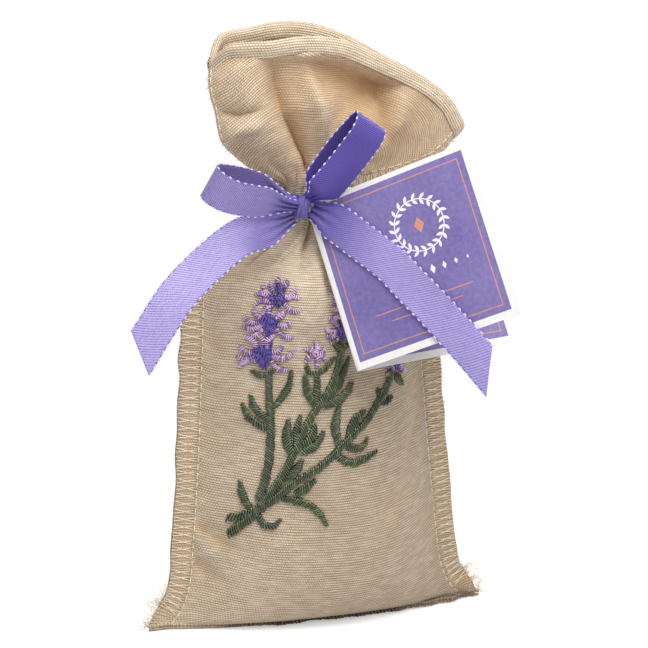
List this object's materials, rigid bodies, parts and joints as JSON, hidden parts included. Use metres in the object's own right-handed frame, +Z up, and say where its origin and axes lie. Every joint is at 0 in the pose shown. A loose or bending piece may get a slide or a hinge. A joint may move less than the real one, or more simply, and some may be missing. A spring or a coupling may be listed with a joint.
{
  "type": "lavender sachet",
  "caption": "Upright cloth sachet filled with dried lavender flowers, embroidered front, gathered open mouth tied with a satin ribbon bow that carries a folded card tag.",
  "frame": {"origin": "middle of the flat bottom, on the ground, in the plane of the side seams", "axes": "+Z up along the height, -Y towards the embroidered front, +X to the viewer's right"},
  "size_m": [0.1123, 0.0769, 0.171],
  "materials": {
    "cloth": "matte",
    "seam_thread": "matte",
    "dried_flowers": "matte",
    "satin_ribbon": "satin",
    "card": "matte",
    "green_thread": "satin",
    "violet_thread": "satin"
  },
  "bodies": {
    "bag": {"front_panel": "cloth", "back_panel": "cloth", "flower_filling": "dried_flowers", "left_seam_thread": "seam_thread", "right_seam_thread": "seam_thread", "bottom_seam_thread": "seam_thread", "embroidered_stems": "green_thread", "left_flower_spike": "violet_thread", "flower_bud": "violet_thread", "middle_flower_spike": "violet_thread", "right_flower_spike": "violet_thread", "ribbon_neck_band": "satin_ribbon", "ribbon_knot": "satin_ribbon"},
    "tag_back": {"tag_back_leaf": "card"},
    "tag_front": {"tag_front_leaf": "card"},
    "left_tail": {"ribbon_left_tail": "satin_ribbon"},
    "right_tail": {"ribbon_right_tail": "satin_ribbon"},
    "left_loop": {"ribbon_left_loop": "satin_ribbon"},
    "right_loop": {"ribbon_right_loop": "satin_ribbon"}
  },
  "joints": [
    {"name": "tag_swing", "type": "hinge", "parent": "bag", "child": "tag_back", "pos_m": [-0.00162, -0.01324, 0.11898], "axis": [-0.6455, -0.7412, 0.1843], "range_deg": [-6, 8], "stiffness_Nm_per_rad": 0.02},
    {"name": "tag_fold", "type": "hinge", "parent": "tag_back", "child": "tag_front", "pos_m": [-0.00549, -0.00932, 0.1212], "axis": [0.1788, -0.3813, -0.907], "range_deg": [-38, 0], "stiffness_Nm_per_rad": 0.005},
    {"name": "left_tail_swing", "type": "hinge", "parent": "bag", "child": "left_tail", "pos_m": [-0.01239, -0.01242, 0.1195], "axis": [-0.2414, -0.9656, 0.0966], "range_deg": [-6, 15], "stiffness_Nm_per_rad": 0.004},
    {"name": "right_tail_lift", "type": "hinge", "parent": "bag", "child": "right_tail", "pos_m": [-0.00409, -0.01342, 0.12], "axis": [0.5929, -0.3342, 0.7327], "range_deg": [-30, 0], "stiffness_Nm_per_rad": 0.004},
    {"name": "left_loop_tilt", "type": "hinge", "parent": "bag", "child": "left_loop", "pos_m": [-0.01209, -0.01292, 0.122], "axis": [-0.2414, -0.9656, 0.0966], "range_deg": [-3, 6], "stiffness_Nm_per_rad": 0.004},
    {"name": "right_loop_tilt", "type": "hinge", "parent": "bag", "child": "right_loop", "pos_m": [-0.00559, -0.01342, 0.125], "axis": [-0.2414, -0.9656, 0.0966], "range_deg": [-8, 8], "stiffness_Nm_per_rad": 0.004}
  ]
}
